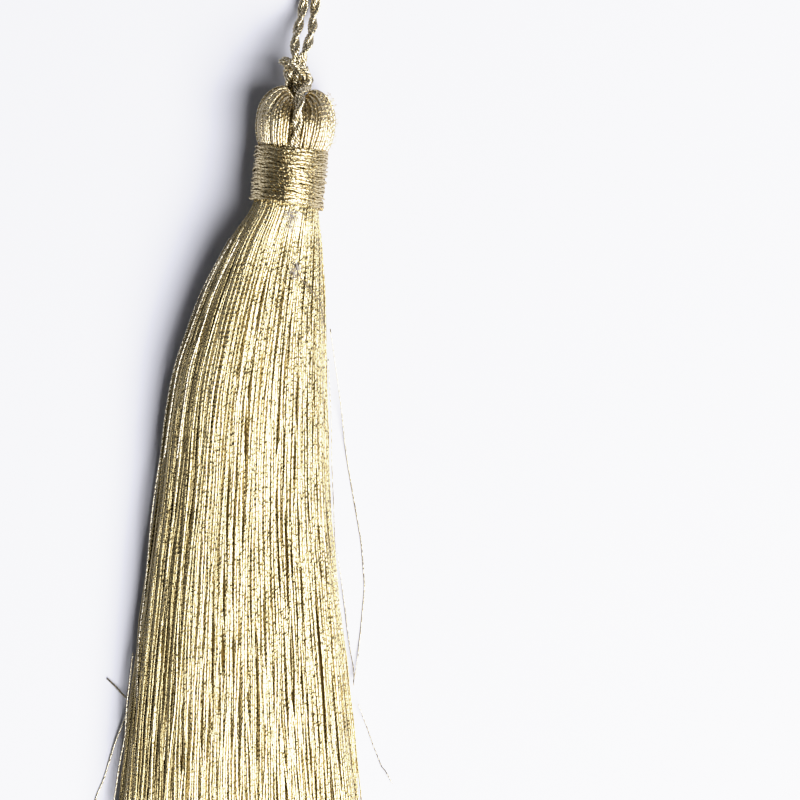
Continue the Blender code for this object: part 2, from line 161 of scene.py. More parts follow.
def thread_mesh(name, paths, radii, facing, sides, tints, flat=1.0):
    """Closed threads along paths of shape (threads, steps, 3). The ring at a path point is
    p + r * (cos a * across + flat * sin a * out), where across is square to the path and to
    facing, and out is square to both. radii, tints and flat hold one value for all the threads or
    one each. Both ends are closed with a flat face."""
    count, steps, _ = paths.shape
    ahead = unit(np.gradient(paths, axis=1))
    across = unit(np.cross(ahead, np.broadcast_to(facing, paths.shape)))
    out = np.cross(across, ahead)
    angle = full_turn(sides)[:, None]
    reach = np.broadcast_to(radii, (count, steps))[:, :, None, None]
    flat = np.broadcast_to(flat, (count, 1))[:, :, None, None]
    rings = paths[:, :, None] + reach * (
        np.cos(angle) * across[:, :, None] + flat * np.sin(angle) * out[:, :, None]
    )
    first = (np.arange(count)[:, None, None] * steps + np.arange(steps - 1)[:, None]) * sides
    here, beside = first + np.arange(sides), first + (np.arange(sides) + 1) % sides
    quads = np.stack([here, here + sides, beside + sides, beside], axis=-1).reshape(-1, 4)
    starts = (np.arange(count) * steps * sides)[:, None] + np.arange(sides)
    ends = (starts + (steps - 1) * sides)[:, ::-1]
    mesh = bpy.data.meshes.new(name)
    mesh.from_pydata(rings.reshape(-1, 3), [], quads.tolist() + starts.tolist() + ends.tolist())
    run = length_along(paths)
    low = np.broadcast_to(run[:, :-1, None], (count, steps - 1, sides))
    high = np.broadcast_to(run[:, 1:, None], (count, steps - 1, sides))
    side = np.broadcast_to(np.arange(sides) / sides, low.shape)
    after = side + 1 / sides
    corners = np.stack([low, side, high, side, high, after, low, after], axis=-1).reshape(-1, 2)
    caps = np.zeros((2 * count * sides, 2))
    caps[count * sides:, 0] = np.repeat(run[:, -1], sides)
    uv = mesh.uv_layers.new(name="wrap")
    uv.uv.foreach_set("vector", np.concatenate([corners, caps]).ravel())
    tint = mesh.attributes.new("tint", "FLOAT", "POINT")
    tint.data.foreach_set("value", np.repeat(tints, steps * sides))
    mesh.shade_smooth()
    return mesh


# %% Finished pieces
def show(mesh, material, slot, *nodes):
    """A finished piece, named as its mesh, on the tassel's body. It stands for these nodes of the
    frame."""
    piece = bpy.data.objects.new(mesh.name, mesh)
    bpy.context.scene.collection.objects.link(piece)
    mesh.materials.append(material)
    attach(piece, "root")
    if nodes:
        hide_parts(*nodes)
    triangles = sum(len(face.vertices) - 2 for face in mesh.polygons)
    print(piece.name, "has", triangles, "triangles")
    return piece


# %% [markdown]
# ## Metal-wrapped thread
# The thread is a yellow core with a narrow strip of metal foil wound round it. The strip catches
# the light in short flecks and the core shows between its turns. It could be modelled strip by
# strip, which would need millions of faces. Here a wave climbs round the UV map instead: it raises
# the surface and mixes the foil's colour and gloss with those of the core. Handling has creased
# the foil into small flat facets, so each cell of a random cell pattern, laid along the strip,
# leans its own way. That is what makes such thread glitter.

# %% Node helpers
def feed(tree, socket, value):
    """Give an input a number or colour, or link it to another node's output."""
    if isinstance(value, bpy.types.NodeSocket):
        tree.links.new(value, socket)
    else:
        socket.default_value = value


def add_node(tree, kind, sockets=(), **options):
    """A node of this kind with its options set and its inputs fed, by name or by number."""
    node = tree.nodes.new("ShaderNode" + kind)
    for key, value in options.items():
        setattr(node, key, value)
    for key, value in dict(sockets).items():
        feed(tree, node.inputs[key], value)
    return node


def calc(tree, operation, *values):
    """The result of one Math node on these values."""
    return add_node(tree, "Math", enumerate(values), operation=operation).outputs[0]


def remap(tree, value, low, high, to_low, to_high):
    """The value's range low..high stretched onto to_low..to_high, held at both ends."""
    return add_node(tree, "MapRange", enumerate((value, low, high, to_low, to_high))).outputs[0]


def vector_calc(tree, operation, *values):
    """The result of one Vector Math node on these values."""
    return add_node(tree, "VectorMath", enumerate(values), operation=operation).outputs[0]


def scaled(tree, vector, factor):
    """A colour or direction times a number."""
    return add_node(tree, "VectorMath", {0: vector, "Scale": factor}, operation="SCALE").outputs[0]


def mixed(tree, factor, first, second):
    """The colour that goes from the first to the second as the factor goes from 0 to 1."""
    mix = add_node(tree, "Mix", {"Factor": factor}, data_type="RGBA")
    feed(tree, mix.inputs["A"], first)
    feed(tree, mix.inputs["B"], second)
    return mix.outputs["Result"]


def noise(tree, scale):
    """The strength of a noise in the piece's own space, scale waves to the metre."""
    place = add_node(tree, "TexCoord").outputs["Object"]
    return add_node(tree, "TexNoise", {"Vector": place, "Scale": scale}).outputs["Fac"]


def new_material(name):
    """An empty material: its node tree and its shader."""
    material = bpy.data.materials.new(name)
    material.use_nodes = True
    return material, material.node_tree, material.node_tree.nodes["Principled BSDF"]


# %% [markdown]
# A thread's tint also shades it and shifts its pattern. A low tint darkens it and mixes in a
# deeper,
# greener gold: painted shade and painted reflection, for threads that lie among others and mirror
# them.

# %% Thread materials
SHADED_FOIL = (0.40, 0.30, 0.11, 1.0)
STRIP_EDGE = (0.04, 0.15)
DENTS_PER_METRE = 3100.0
PATCHES_PER_METRE = 330.0
FOIL_ROUGHNESS = 0.22
CORE_ROUGHNESS = 0.45


def wrapped_thread(name, foil, core, pitch, relief, crumple, core_metal=0.9):
    """A thread wound with foil. turns = length / pitch + the turn round the thread, so every line
    of equal turns is a helix. The strip is a triangle wave of turns. crumple is how far a facet's
    normal leans, as a share of the normal's own length."""
    material, tree, shader = new_material(name)
    wrap = add_node(tree, "SeparateXYZ", {0: add_node(tree, "UVMap", uv_map="wrap").outputs[0]})
    tint = add_node(tree, "Attribute", attribute_name="tint").outputs["Fac"]
    along, around = wrap.outputs["X"], wrap.outputs["Y"]
    turns = calc(tree, "ADD", calc(tree, "MULTIPLY_ADD", along, 1 / pitch, around),
                 calc(tree, "MULTIPLY", tint, 37.0))
    strip = calc(tree, "PINGPONG", turns, 0.5)
    # how many facets fit along the strip and across it, and another pattern for each tint
    cells = add_node(tree, "CombineXYZ", {
        0: calc(tree, "MULTIPLY", turns, 2.2),
        1: calc(tree, "MULTIPLY_ADD", around, 1.6, calc(tree, "MULTIPLY", along, 1.2 / pitch)),
        2: calc(tree, "MULTIPLY", tint, 91.0),
    }).outputs[0]
    facets = add_node(tree, "TexVoronoi", {"Vector": cells, "Scale": 1.0, "Randomness": 0.9})
    on_strip = remap(tree, strip, *STRIP_EDGE, 0.0, 1.0)
    height = calc(tree, "MULTIPLY_ADD", noise(tree, DENTS_PER_METRE), 0.25, on_strip)
    raised = add_node(tree, "Bump", {"Height": height, "Distance": relief, "Strength": 1.0})
    lean = vector_calc(tree, "SUBTRACT", facets.outputs["Color"], (0.5, 0.5, 0.5))
    lean = scaled(tree, lean, 2 * crumple)
    normal = vector_calc(tree, "NORMALIZE", vector_calc(tree, "ADD", raised.outputs[0], lean))
    feed(tree, shader.inputs["Normal"], normal)
    gold = mixed(tree, on_strip, (*core, 1.0), (*foil, 1.0))
    # a tint under a half mixes in SHADED_FOIL and a low tint darkens the colour: painted shade and
    # painted reflection
    gold = mixed(tree, remap(tree, tint, 0.0, PLAIN_TINTS[0], 0.75, 0.0), gold, SHADED_FOIL)
    patch = remap(tree, noise(tree, PATCHES_PER_METRE), 0.3, 0.7, 0.84, 1.05)
    shade = calc(tree, "MULTIPLY", patch, remap(tree, tint, 0.0, 1.0, 0.60, 1.05))
    rough = remap(tree, on_strip, 0.0, 1.0, CORE_ROUGHNESS, FOIL_ROUGHNESS)
    feed(tree, shader.inputs["Base Color"], scaled(tree, gold, shade))
    feed(tree, shader.inputs["Metallic"], remap(tree, on_strip, 0.0, 1.0, core_metal, 1.0))
    feed(tree, shader.inputs["Roughness"], rough)
    return material


FOIL = (0.695, 0.592, 0.350)
CORE = (0.80, 0.58, 0.20)
WOUND_FOIL = (0.69, 0.58, 0.34)
# the head's foil is the skirt's same thread made paler: painted light on the head
HEAD_FOIL_PAINTED_PALER = (0.80, 0.68, 0.44)
CORD_FOIL = (0.84, 0.75, 0.54)
HEAD_CORE = (0.50, 0.35, 0.12)
DARK_CORE = (0.30, 0.21, 0.08)
LOOSE_FOIL = (0.78, 0.71, 0.55)
skirt_thread = wrapped_thread("skirt thread", FOIL, CORE, 0.00100, 0.00002, 0.13, core_metal=0.4)
head_thread = wrapped_thread("head thread", HEAD_FOIL_PAINTED_PALER, HEAD_CORE, 0.00100, 0.00004, 0.14)
binding_thread = wrapped_thread("binding thread", WOUND_FOIL, DARK_CORE, 0.00110, 0.00004, 0.10)
cord_thread = wrapped_thread("cord thread", CORD_FOIL, DARK_CORE, 0.00090, 0.00004, 0.16)
loose_thread = wrapped_thread("loose thread", LOOSE_FOIL, DARK_CORE, 0.00120, 0.00003, 0.10)
print("thread materials:", [m.name for m in bpy.data.materials if "thread" in m.name])

# %% [markdown]
# ## The skirt's form
# The skirt leaves the neck as a round bundle, sinks to the table and spreads. At the neck a section
# is a half ellipse on top. Further down it is a slumped heap, highest a little left of its middle.
# Underneath it is a lower, flatter bow. One short table gives the sections' sizes along the skirt,
# near the neck some tenths of a millimetre lower than the solid's, and another gives the heap's
# shape. It could be sculpted, but tables keep it measurable. Each outline is walked by its length,
# so that a share of the way round means the same to every section.

# %% The skirt's form
AXIS_LEAN = math.radians(6.7)
SKIRT_SECTIONS = np.array([
    # y, middle, half_width, crown, widest, underside
    (0.0590, 0.0098, 0.0063, 0.0138, 0.0076, 0.0014),
    (0.0535, 0.0091, 0.0069, 0.0146, 0.0077, 0.0008),
    (0.0480, 0.0074, 0.0092, 0.0143, 0.0064, 0.0000),
    (0.0380, 0.0050, 0.0123, 0.0145, 0.0052, 0.0000),
    (0.0220, 0.0023, 0.0155, 0.0146, 0.0044, 0.0000),
    (-0.0040, 0.0006, 0.0179, 0.0138, 0.0037, 0.0000),
    (-0.0400, 0.0000, 0.0221, 0.0132, 0.0031, 0.0000),
    (-0.0851, 0.0000, 0.0266, 0.0122, 0.0026, 0.0000),
])[::-1]
SKIRT_TOP, SKIRT_END = SKIRT_SECTIONS[-1, 0], SKIRT_SECTIONS[0, 0]
LEAN_FADES = 0.020
OUTLINE_POINTS = 361
UPPER_HALF = np.array([
    # across, rise
    (-1.00, 0.00), (-0.92, 0.37), (-0.76, 0.65), (-0.58, 0.85), (-0.40, 0.965), (-0.22, 1.00),
    (0.00, 0.985), (0.30, 0.92), (0.60, 0.77), (0.80, 0.58), (0.93, 0.35), (1.00, 0.00),
])
ROUND_NECK = 0.010
BOW_SHARE = 1.25
SIDE_SHARE = 0.45
NEAR_SHARE = 0.01


def skirt_outlines(y):
    """The outline of the section at each y: (x, z) at even angles. x is the middle plus the half
    width times the cosine. z is the widest level plus the rise times the sine, no lower than the
    underside, and away from the neck the upper half's table takes the place of the sine."""
    table = smooth_table(y, SKIRT_SECTIONS[:, 0], SKIRT_SECTIONS[:, 1:])
    middle, half_width, crown, widest, underside = (column[:, None] for column in table.T)
    angle = np.linspace(-math.pi / 2, 1.5 * math.pi, OUTLINE_POINTS)[None, :]
    rise = np.where(np.sin(angle) > 0, crown - widest, BOW_SHARE * (widest - underside))
    slumped = smooth_table(np.cos(angle[0]), UPPER_HALF[:, 0], UPPER_HALF[:, 1:])[:, 0]
    slumped = np.where(np.sin(angle) > 0, slumped, np.sin(angle))
    settled = np.clip((SKIRT_TOP - y) / ROUND_NECK, 0, 1)[:, None]
    z = np.maximum(widest + rise * (np.sin(angle) * (1 - settled) + slumped * settled), underside)
    return np.stack([middle + half_width * np.cos(angle), z], axis=-1)


def crowding(lines):
    """How much of the skirt's threads each stretch of an outline takes: its length, times a share
    that is whole on top and falls to SIDE_SHARE as the stretch turns to the side or down."""
    steps = np.diff(lines, axis=1)
    lengths = np.linalg.norm(steps, axis=-1)
    upward = np.clip(-steps[..., 0] / np.maximum(lengths, 1e-9), 0, 1)
    taken = np.cumsum(lengths * (SIDE_SHARE + (1 - SIDE_SHARE) * upward), axis=1)
    return np.pad(taken, ((0, 0), (1, 0)))


def skirt_points(share, depth, y):
    """Points in the skirt, and the way out of it there: share of the threads on the way round from
    the middle underneath, depth below the outline along its inward normal, at each y. share and
    depth have shape (threads, steps)."""
    lines = skirt_outlines(y)
    run = crowding(lines)
    places, outward = [], []
    for step, (line, lengths) in enumerate(zip(lines, run)):
        at = np.mod(share[:, step], 1.0) * lengths[-1]
        near = NEAR_SHARE * lengths[-1]
        along = unit(read_off(at + near, lengths, line) - read_off(at - near, lengths, line))
        inward = np.column_stack([-along[:, 1], along[:, 0]])
        places.append(read_off(at, lengths, line) + inward * depth[:, step, None])
        outward.append(np.column_stack([-inward[:, 0], np.zeros(len(inward)), -inward[:, 1]]))
    spots = np.stack(places, axis=1)
    lean = np.clip(1 - (SKIRT_TOP - y) / LEAN_FADES, 0, 1) * math.tan(AXIS_LEAN)
    middle = np.interp(y, SKIRT_SECTIONS[:, 0], SKIRT_SECTIONS[:, 1])
    levels = y[None, :] - (spots[..., 0] - middle) * lean
    return np.stack([spots[..., 0], levels, spots[..., 1]], axis=-1), np.stack(outward, axis=1)


print("skirt from y =", SKIRT_TOP, "to", SKIRT_END)

# %% [markdown]
# ## The skirt's threads
# Hundreds of threads hang in locks: neighbours draw together, part again, and a few cross over
# the rest. All of them share one slow wander, which makes the locks, and each has a small one of
# its own. They lie in layers, and the deeper ones fill the gaps between the upper ones; the
# deepest layer gets lower tints, painted shade. On the left, where the skirt leans away from the
# light, most threads are rounder and get low tints that paint them darker, painted shade, and a few
# lie raised with their flat side to the light. A hair system could grow them, but paths that are
# worked out as arrays can be spaced by the thread's own width and end in one straight cut.

# %% The skirt's threads
THREAD_RADIUS = 0.00026
THREAD_PITCH = 0.00062
THREAD_FLATNESS = 0.5
SKIRT_STEPS = 86
STEP_GROWTH = 1.15
FREE_FROM_NECK = 0.020
LOCKS = 40
LOCK_STRENGTH = 0.55
LOCK_SLIDE = 0.028
ROLL_SPREAD = 0.19
CUT_SPREAD = 0.0004
LEFT_BEGINS = 0.63
LEFT_BLENDS_IN = 0.06
LEFT_ENDS = 0.90
LEFT_BLENDS_OUT = 0.04
LEFT_DEPTH = 0.0004
LEFT_FLATNESS = 1.0
# the highest tint of the darkened left threads, kept low to paint them darker: painted shade
LEFT_SHADE_TINT = 0.3
RAISED_SHARE = 0.16
RAISED_ROLL = 0.9


def lock_pull(share, y):
    """How far a thread is drawn towards its lock, in shares of the outline: a sine of its place
    round the skirt whose phase slides slowly along it, and a finer one for the locks' own parts."""
    along = (SKIRT_TOP - y) / LOCK_SLIDE
    phase = 2 * math.pi * LOCKS * share + 1.9 * np.sin(along + 11 * share)
    finer = 2 * math.pi * 2.3 * LOCKS * share + 2.4 * np.sin(1.7 * along + 23 * share)
    return (np.sin(phase) + 0.45 * np.sin(finer)) / (2 * math.pi * LOCKS)


def crowded_out(count, y):
    """How deep each thread of a layer lies where there isn't room for all: order runs evenly over
    0..1 round the layer, room is the outline over the pitch of them all, and a thread whose order
    is past the room lies as many layers down as order / room says."""
    order = even_order(count)
    room = np.minimum(length_along(skirt_outlines(y))[:, -1] / (count * THREAD_PITCH), 1.0)
    past = order / room[None, :] - 1
    return 2 * THREAD_RADIUS * (np.clip(6 * past, 0, 1) + 0.8 * np.clip(past, 0, 3))


def skirt_layer(rng, count, depth, wander, tint_range):
    """One layer of threads: even places round the skirt, drawn into locks, each wandering by some
    share of the outline, rising, sinking and rolling as it goes. Returns the paths, the directions
    that the threads' flat sides face, how flat they are, and their tints."""
    y = SKIRT_TOP + (SKIRT_END - SKIRT_TOP) * np.linspace(0, 1, SKIRT_STEPS) ** STEP_GROWTH
    along = SKIRT_TOP - y
    even = (np.arange(count) + rng.uniform(0.1, 0.9, count))[:, None] / count
    fade = np.clip(along / FREE_FROM_NECK, 0, 1)[None, :]
    share = even + fade * drift(rng, count, along, (0.090, 0.040), wander)
    share = share + LOCK_STRENGTH * fade * lock_pull(share, y[None, :])
    share = share + drift(rng, count, along, (0.012, 0.0065), 0.0005)
    order = even_order(count)
    left = np.clip((even - LEFT_BEGINS) / LEFT_BLENDS_IN, 0, 1)
    left = left * np.clip((LEFT_ENDS - even) / LEFT_BLENDS_OUT, 0, 1)
    sink = depth + np.abs(drift(rng, count, along, (0.07, 0.03), 0.0002))
    sink = sink + crowded_out(count, y) + LEFT_DEPTH * left * fade * order
    paths, outward = skirt_points(share, sink + THREAD_RADIUS, y)
    paths[..., 2] = np.maximum(paths[..., 2], THREAD_RADIUS)
    roll = rng.normal(0.0, ROLL_SPREAD, (count, 1)) + drift(rng, count, along, (0.05, 0.02), 0.12)
    raised = order < RAISED_SHARE
    outward[..., 0] += roll + RAISED_ROLL * left * raised
    paths[:, -1, 1] += rng.normal(0.0, CUT_SPREAD, count)
    # on the left, threads that aren't raised are rounder and get low tints that darken them:
    # painted shade
    rounder_painted_shade = left * ~raised
    flat = THREAD_FLATNESS + (LEFT_FLATNESS - THREAD_FLATNESS) * rounder_painted_shade
    rounder_painted_shade = rounder_painted_shade[:, 0]
    tints = (1 - rounder_painted_shade) * rng.uniform(*tint_range, count) + rounder_painted_shade * rng.uniform(0, LEFT_SHADE_TINT, count)
    return paths, unit(outward), flat, tints


rng = np.random.default_rng(7)
skirt_layers = {
    # threads, sides, depth, wander, tints
    "skirt_threads_outer": (156, 6, 0.0000, 0.0045, (0.35, 1.0)),
    "skirt_threads_middle": (144, 6, 0.0003, 0.006, (0.35, 1.0)),
    # the deepest layer's lower tints paint it darker: painted shade between the upper threads
    "skirt_threads_inner": (130, 5, 0.0007, 0.007, (0.25, 0.7)),
}
for name, (count, sides, depth, wander, tint_range) in skirt_layers.items():
    paths, outward, flat, tints = skirt_layer(rng, count, depth, wander, tint_range)
    radii = THREAD_RADIUS * rng.uniform(0.85, 1.15, (count, 1))
    mesh = thread_mesh(name, paths, radii, outward, sides, tints, flat)
    show(mesh, skirt_thread, "pale_gold_thread", "hank")

# %% [markdown]
# ## The bundle inside
# Deeper threads never show one by one, only as a ribbed dark gold between the upper ones. A closed
# form inside stands for them: the skirt's own sections drawn in by a few threads' depth, with the
# head's turned form above it. Its dark gold is painted shade and painted reflection.

# %% Closed surfaces
def mesh_volume(mesh):
    """The signed volume: a sixth of the sum over triangles of the first corner's product with the
    cross product of the other two."""
    mesh.calc_loop_triangles()
    places = np.array([v.co for v in mesh.vertices])
    corners = places[np.array([t.vertices for t in mesh.loop_triangles])]
    return np.einsum("ij,ij->i", corners[:, 0], np.cross(corners[:, 1], corners[:, 2])).sum() / 6


def closed_grid(name, grid):
    """A closed surface from a grid of points (rows, round, 3): quads between the rows, which join
    up all the way round, and a fan to the middle of each end row. A negative volume means that it
    is inside out, and its faces are then turned."""
    rows, around, _ = grid.shape
    here = np.arange(around)
    beside = (here + 1) % around
    first = (np.arange(rows - 1) * around)[:, None]
    quads = np.stack(
        [first + here, first + beside, first + around + beside, first + around + here], axis=-1
    ).reshape(-1, 4)
    top, end = rows * around, rows * around + 1
    last = (rows - 1) * around
    fans = [(top, after, at) for at, after in zip(here, beside)]
    fans += [(end, last + at, last + after) for at, after in zip(here, beside)]
    points = np.vstack([grid.reshape(-1, 3), grid[0].mean(axis=0), grid[-1].mean(axis=0)])
    mesh = bpy.data.meshes.new(name)
    mesh.from_pydata(points, [], quads.tolist() + fans)
    mesh.shade_smooth()
    if mesh_volume(mesh) < 0:
        mesh.flip_normals()
    return mesh


# %% The bundle
BUNDLE_DEPTH = 0.0015
BUNDLE_INSET = 0.0006
BUNDLE_RIBS = 75
RIB_HEIGHT = 0.00016
POINTS_PER_RIB = 4
BUNDLE_STEPS = 60
BUNDLE_LOWEST = 0.0004

bundle_y = np.linspace(SKIRT_TOP, SKIRT_END + BUNDLE_INSET, BUNDLE_STEPS)
around = np.arange(POINTS_PER_RIB * BUNDLE_RIBS) / (POINTS_PER_RIB * BUNDLE_RIBS)
share = np.repeat(around[:, None], BUNDLE_STEPS, axis=1)
rib = RIB_HEIGHT * np.sin(2 * math.pi * BUNDLE_RIBS * share)
bundle, _ = skirt_points(share, BUNDLE_DEPTH + rib, bundle_y)
bundle[..., 2] = np.maximum(bundle[..., 2], BUNDLE_LOWEST)
bundle_mesh = closed_grid("skirt_bundle", bundle.transpose(1, 0, 2))
print("the bundle's volume, cm3:", round(mesh_volume(bundle_mesh) * 1e6, 1))

# %% [markdown]
# Its finish is the gold of threads seen deep between others: orange and dark, painted shade and
# painted reflection, ribbed along the skirt.

# %% The bundle's material
def bundle_gold(name, colour):
    """Orange gold with streaks along Y: a noise whose Y is squeezed far more than X and Z."""
    material, tree, shader = new_material(name)
    place = add_node(tree, "TexCoord").outputs["Object"]
    squeezed = add_node(tree, "Mapping", {"Vector": place, "Scale": (2200.0, 120.0, 2200.0)})
    streak = add_node(tree, "TexNoise", {"Vector": squeezed.outputs[0], "Scale": 1.0})
    streak = streak.outputs["Fac"]
    shade = remap(tree, streak, 0.3, 0.7, 0.35, 1.0)
    feed(tree, shader.inputs["Base Color"], scaled(tree, colour, shade))
    raised = add_node(tree, "Bump", {"Height": streak, "Distance": 0.0001})
    feed(tree, shader.inputs["Normal"], raised.outputs[0])
    shader.inputs["Metallic"].default_value = 0.7
    shader.inputs["Roughness"].default_value = 0.45
    return material


# dark orange gold for the deep threads: painted shade and painted reflection
deep_gold_painted_shade = bundle_gold("deep gold painted shade", (0.62, 0.43, 0.14))
show(bundle_mesh, deep_gold_painted_shade, "pale_gold_thread", "hank")

# %% [markdown]
# ## The cut end
# The skirt's lower end is one straight cut, so the end of every thread shows there. Short lengths
# of thread, in rows inside the last section, stand for the ends of the deeper threads. Whole
# threads would need many more faces and look no different.

# %% The cut end
END_LENGTH = 0.0040
END_INSET = 0.0010
END_SCATTER = 0.0003
END_ROW_PITCH = 0.00054
UPWARD = np.array([0.0, 0.0, 1.0])

last_outline = skirt_outlines(np.array([SKIRT_END]))[0]
quarter = OUTLINE_POINTS // 4
upper_edge = last_outline[quarter:3 * quarter + 1][::-1]
lower_edge = np.vstack([last_outline[3 * quarter:], last_outline[1:quarter + 1]])
reach = SKIRT_SECTIONS[0, 2]
rows = np.arange(END_INSET, SKIRT_SECTIONS[0, 3], END_ROW_PITCH)
x, z = np.meshgrid(np.arange(-reach, reach, THREAD_PITCH), rows)
x = x + 0.5 * THREAD_PITCH * (np.arange(len(rows)) % 2)[:, None]
inside = z < np.interp(x, upper_edge[:, 0], upper_edge[:, 1]) - END_INSET
inside &= z > np.interp(x, lower_edge[:, 0], lower_edge[:, 1]) + END_INSET
x, z = x[inside], z[inside]
end_rng = np.random.default_rng(11)
scatter = end_rng.normal(0.0, END_SCATTER, (3, len(x)))
x, z = x + 0.3 * scatter[1], z + 0.3 * scatter[2]
end_paths = np.stack([
    np.column_stack([x, np.full(len(x), SKIRT_END + END_LENGTH), z]),
    np.column_stack([x, SKIRT_END + scatter[0], z]),
], axis=1)
end_mesh = thread_mesh(
    "skirt_thread_ends", end_paths, THREAD_RADIUS, UPWARD, 6, end_rng.uniform(*PLAIN_TINTS, len(x))
)
show(end_mesh, skirt_thread, "pale_gold_thread", "hank")

# %% [markdown]
# ## The head
# The folded end of the hank makes two round lobes with the cord between them. Every thread comes
# out from under the cord, high on the head's front or back, runs over its lobe and goes down to the
# neck. The head's surface is a turned outline, read by the angle from its axis. On it the threads
# would be plain meridians that meet at the top. Turning each direction forward and to its lobe's
# side, the more the nearer it is to the top, moves the place where they meet to beside the cord.

# %% The head's form
HEAD_CENTRE = np.array([0.0113, 0.0721, 0.0076])
HEAD_HALF_WIDTH = 0.0080
HEAD_HALF_DEPTH = 0.0090
FULLEST_LEVEL = -0.0010
FULLEST_REACH = 0.0045
CREASE_DEPTH = 0.0030
CREASE_HALF_WIDTH = 0.0019
HEAD_LOWEST = 0.0003
HANK_OUTLINE = np.array([
    # above, out, crease
    (0.0047, 0.0000, 0.0),
    (0.0056, 0.0016, 0.6),
    (0.0062, 0.0034, 0.9),
    (0.0056, 0.0053, 1.0),
    (0.0038, 0.0070, 1.0),
    (0.0014, 0.0079, 1.0),
    (-0.0012, 0.0081, 1.0),
    (-0.0038, 0.0079, 0.9),
    (-0.0056, 0.0074, 0.7),
    (-0.0070, 0.0067, 0.3),
    (-0.0090, 0.0062, 0.0),
    (-0.0120, 0.0062, 0.0),
])


def to_world(points):
    """From the head's own axes (across, above, height) to the world: turned clockwise by the lean
    of its axis, and moved to its centre."""
    across, above, height = np.moveaxis(np.asarray(points, float), -1, 0)
    cosine, sine = math.cos(AXIS_LEAN), math.sin(AXIS_LEAN)
    turned = np.stack([across * cosine + above * sine, above * cosine - across * sine, height], -1)
    return turned + HEAD_CENTRE


def head_points(polar, azimuth, sunk):
    """Points on the head by their angle from its axis and their angle round it, from the right,
    sunk below its surface. The crease presses in along the front and back by a bell curve of the
    distance from it: push = -depth * exp(-(distance / half width) ** 2)."""
    knots = np.arctan2(HANK_OUTLINE[:, 1], HANK_OUTLINE[:, 0])
    fine = np.linspace(knots[0], knots[-1], 400)
    rows = smooth_table(fine, knots, HANK_OUTLINE)
    slope = unit(np.gradient(rows[:, :2], fine, axis=0))
    above, out, creased = (np.interp(polar, fine, column) for column in rows.T)
    normal_above = np.interp(polar, fine, slope[:, 1])
    normal_out = np.interp(polar, fine, -slope[:, 0])
    off_front = np.abs(np.abs(np.arctan2(np.sin(azimuth), np.cos(azimuth))) - math.pi / 2)
    bell = np.exp(-((off_front * np.maximum(out, 0.001) / CREASE_HALF_WIDTH) ** 2))
    push = -CREASE_DEPTH * creased * bell - sunk
    far = np.maximum(out + push * normal_out, 0.0)
    fullest = np.exp(-(((above - FULLEST_LEVEL) / FULLEST_REACH) ** 2))
    deepen = 1 + (HEAD_HALF_DEPTH / HEAD_HALF_WIDTH - 1) * fullest
    height = np.maximum(far * np.sin(azimuth) * deepen, -HEAD_CENTRE[2] + HEAD_LOWEST)
    return np.stack([far * np.cos(azimuth), above + push * normal_above, height], axis=-1)


print("head, mm:", 2000 * HEAD_HALF_WIDTH, "wide and", 2000 * HEAD_HALF_DEPTH, "deep")

# %% [markdown]
# ## The head's threads
# Two layers of threads cover a core painted dark as shade. Those of the inner layer get lower
# tints that paint them darker, painted shade, because they are seen only in the gaps between the
# outer ones.

# %% The ways of the head's threads
START_BESIDE = math.radians(13)
LOWEST_START = math.radians(62)
HIGHEST_START = math.radians(14)
SETTLED = math.radians(98)
HEAD_END = math.radians(146)


def head_ways(azimuth, way):
    """The directions along threads that end at the azimuths, from the cord to the neck. Each
    starts beside the cord, on the front or back, the lower the nearer it ends to the crease. Its
    turn away from the crease grows by a quarter of an ellipse, sqrt(1 - (1 - u) ** 2), u being how
    far it has come down to where it is settled."""
    front = np.where(np.sin(azimuth) >= 0, 1.0, -1.0)
    side = np.sign(np.cos(azimuth))
    beside = np.arccos(np.clip(np.abs(np.sin(azimuth)), 0, 1))
    first = LOWEST_START + (HIGHEST_START - LOWEST_START) * beside / (math.pi / 2)
    polar = first + (HEAD_END - first) * way**1.5
    u = np.clip((polar - first) / (SETTLED - first), 0, 1)
    turn = START_BESIDE + (beside - START_BESIDE) * np.sqrt(1 - (1 - u) ** 2)
    return polar, front * (math.pi / 2 - side * turn), u


print("the threads end", round(math.degrees(HEAD_END)), "degrees from the head's axis")

# %% The head's threads
HEAD_STEPS = 56
HEAD_THREAD_RADIUS = 0.00024
HEAD_FLATNESS = 0.95
START_DEPTH = 0.0009
UNEVEN_DEPTH = 0.0002


def head_layer(rng, count, depth):
    """One layer of threads over the head. Near the cord there isn't room for all side by side, so
    they start thinner, each at a depth of its own."""
    order = even_order(count)
    way = np.linspace(0, 1, HEAD_STEPS)[None, :]
    azimuth = 2 * math.pi * (np.arange(count) + rng.uniform(0.3, 0.7, count))[:, None] / count
    polar, azimuth, u = head_ways(azimuth + drift(rng, count, way[0], (0.9, 0.4), 0.016), way)
    sunk = depth + HEAD_THREAD_RADIUS + rng.uniform(0.0, UNEVEN_DEPTH, (count, 1))
    sunk = sunk + START_DEPTH * order * (1 - u) ** 1.5
    paths = to_world(head_points(polar, azimuth, sunk))
    radii = HEAD_THREAD_RADIUS * (0.7 + 0.3 * u) * rng.uniform(0.85, 1.1, (count, 1))
    return paths, radii


head_layers = {
    # threads, depth, tints
    "head_threads": (84, 0.0, PLAIN_TINTS),
    # the inner layer's low tints paint it darker: painted shade in the gaps
    "head_threads_inner": (76, 0.0004, (0.0, 0.4)),
}
for name, (count, depth, tint_range) in head_layers.items():
    paths, radii = head_layer(rng, count, depth)
    facing = unit(paths - HEAD_CENTRE)
    tints = rng.uniform(*tint_range, count)
    mesh = thread_mesh(name, paths, radii, facing, 6, tints, HEAD_FLATNESS)
    show(mesh, head_thread, "pale_gold_thread", "hank")

